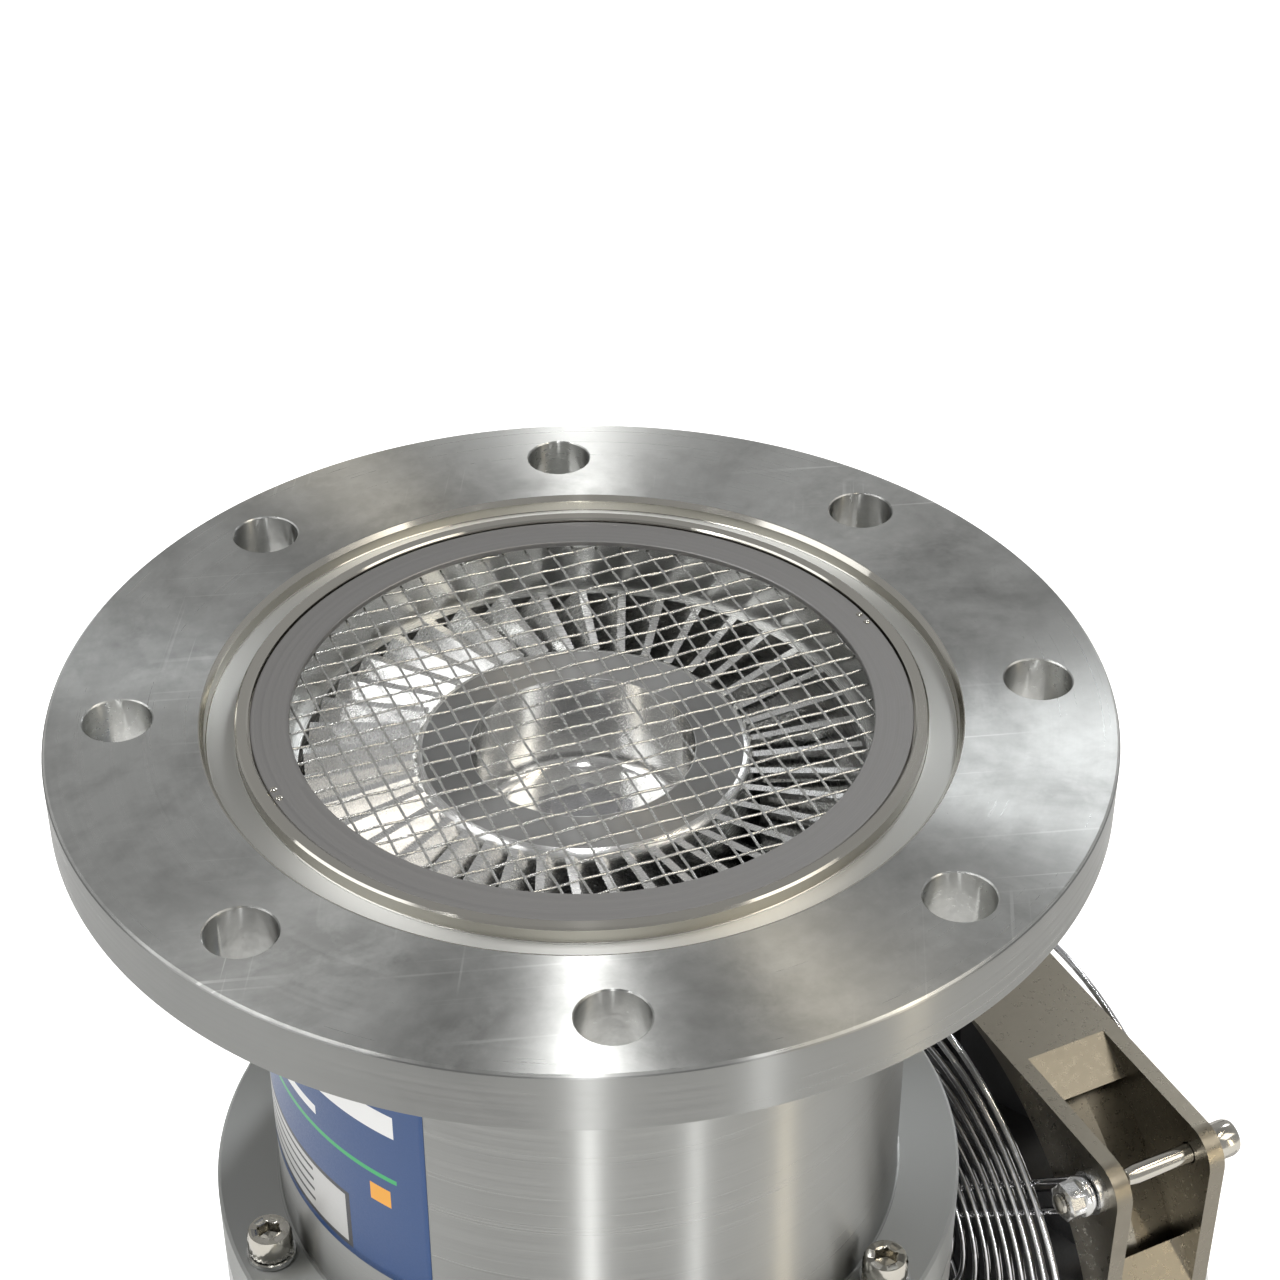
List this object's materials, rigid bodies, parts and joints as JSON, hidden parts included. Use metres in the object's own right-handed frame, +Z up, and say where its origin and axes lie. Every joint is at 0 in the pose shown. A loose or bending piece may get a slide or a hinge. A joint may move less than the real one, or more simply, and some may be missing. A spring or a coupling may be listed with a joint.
{
  "type": "turbomolecular vacuum pump",
  "caption": "Turbomolecular vacuum pump with a bolted inlet flange and screen, bladed rotor and drag stage, finned base, exhaust port and side cooling fan.",
  "frame": {"origin": "On the rotor axis at the underside of the base, where the base bolts", "axes": "+Z up the rotor axis to the inlet flange, +X to the cooling fan, +Y to the exhaust port"},
  "size_m": [0.2084, 0.1945, 0.232],
  "materials": {
    "inlet_stainless": "turned, stained",
    "casing_stainless": "brushed",
    "screw_steel": "bright",
    "washer_steel": "bright zinc",
    "screen_ring_steel": "matte",
    "screen_mesh_steel": "drawn wire",
    "rotor_aluminium": "machined, matte",
    "stator_aluminium": "machined",
    "spacer_aluminium": "turned",
    "shaft_steel": "ground",
    "magnet_steel": "ground",
    "housing_aluminium": "machined",
    "motor_lamination": "stacked sheet",
    "winding_copper": "enamelled wire",
    "bearing_steel": "polished",
    "ball_steel": "polished",
    "base_aluminium": "cast and machined",
    "port_stainless": "turned",
    "connector_metal": "plated",
    "connector_insulator": "moulded",
    "plug_brass": "turned",
    "fan_cast_aluminium": "die-cast, bright",
    "fan_motor_steel": "plain",
    "fan_black": "moulded",
    "guard_chrome": "bright plated wire",
    "bracket_steel": "folded sheet"
  },
  "bodies": {
    "housing": {"base_housing": "base_aluminium", "bearing_carrier": "housing_aluminium", "bottom_cover": "base_aluminium", "bracket_screws": "screw_steel", "casing_screws": "screw_steel", "connector_insert": "connector_insulator", "connector_screws": "screw_steel", "cover_screws": "screw_steel", "drag_sleeve": "spacer_aluminium", "exhaust_port": "port_stainless", "fan_bracket": "bracket_steel", "fan_frame": "fan_cast_aluminium", "fan_motor": "fan_motor_steel", "fan_nuts": "washer_steel", "fan_screws": "screw_steel", "guard_spacers": "washer_steel", "inlet_flange": "inlet_stainless", "inner_guard": "guard_chrome", "lower_bearing_outer": "bearing_steel", "motor_core": "motor_lamination", "motor_housing": "housing_aluminium", "motor_windings": "winding_copper", "outer_guard": "guard_chrome", "port_screws": "screw_steel", "power_connector": "connector_metal", "pump_casing": "casing_stainless", "retaining_rings": "shaft_steel", "screen_mesh": "screen_mesh_steel", "screen_ring": "screen_ring_steel", "spacer_ring_1": "spacer_aluminium", "spacer_ring_2": "spacer_aluminium", "spacer_ring_3": "spacer_aluminium", "spring_washers": "washer_steel", "stator_disc_1": "stator_aluminium", "stator_disc_2": "stator_aluminium", "stator_disc_3": "stator_aluminium", "upper_bearing_outer": "bearing_steel", "vent_plug": "plug_brass"},
    "rotor_assembly": {"rotor": "rotor_aluminium", "shaft": "shaft_steel", "rotor_nut": "shaft_steel", "motor_magnet": "magnet_steel", "upper_bearing_inner": "bearing_steel", "lower_bearing_inner": "bearing_steel"},
    "upper_cage": {"upper_ball_cage": "ball_steel"},
    "lower_cage": {"lower_ball_cage": "ball_steel"},
    "fan_rotor": {"fan_impeller": "fan_black"}
  },
  "joints": [
    {"name": "rotor_spin", "type": "hinge", "parent": "housing", "child": "rotor_assembly", "pos_m": [0, 0, 0.14], "axis": [0, 0, 1], "continuous": true},
    {"name": "upper_cage_spin", "type": "hinge", "parent": "housing", "child": "upper_cage", "pos_m": [0, 0, 0.1813], "axis": [0, 0, 1], "continuous": true},
    {"name": "lower_cage_spin", "type": "hinge", "parent": "housing", "child": "lower_cage", "pos_m": [0, 0, 0.0775], "axis": [0, 0, 1], "continuous": true},
    {"name": "fan_spin", "type": "hinge", "parent": "housing", "child": "fan_rotor", "pos_m": [0.097, 0, 0.0675], "axis": [1, 0, 0], "continuous": true}
  ],
  "couplings": [
    {"joint": "upper_cage_spin", "follows": "rotor_spin", "ratio": 0.4},
    {"joint": "lower_cage_spin", "follows": "rotor_spin", "ratio": 0.4}
  ]
}
